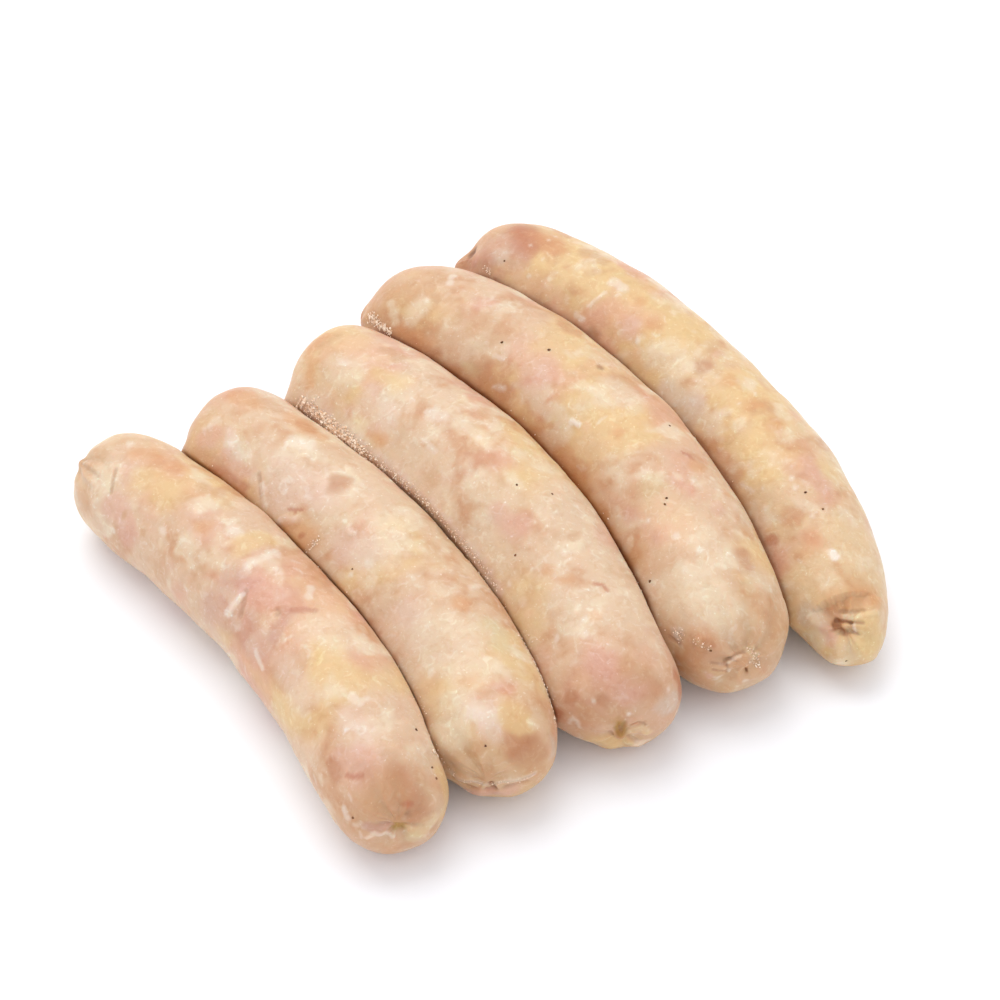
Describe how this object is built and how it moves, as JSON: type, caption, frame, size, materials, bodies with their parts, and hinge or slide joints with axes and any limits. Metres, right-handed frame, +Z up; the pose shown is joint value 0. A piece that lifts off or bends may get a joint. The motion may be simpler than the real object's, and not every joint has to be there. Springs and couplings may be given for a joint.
{
  "type": "row of sausage links",
  "caption": "Raw fresh sausage links, bowed and unevenly filled, lying side by side and pressed together into one raft, each with its casing closed at both ends.",
  "frame": {"origin": "on the surface the links rest on, under the middle of the row's bounding box", "axes": "+X along the links, towards the ends with the plainest twisted closures; +Y across the row, from the shortest links to the longest, the way they bow; +Z up"},
  "size_m": [0.1624, 0.157, 0.0319],
  "materials": {
    "casing": "thin moist casing over pale mottled meat, soft sheen"
  },
  "bodies": {
    "root": {"link_1": "casing", "link_2": "casing", "link_3": "casing", "link_4": "casing", "link_5": "casing"}
  },
  "joints": []
}
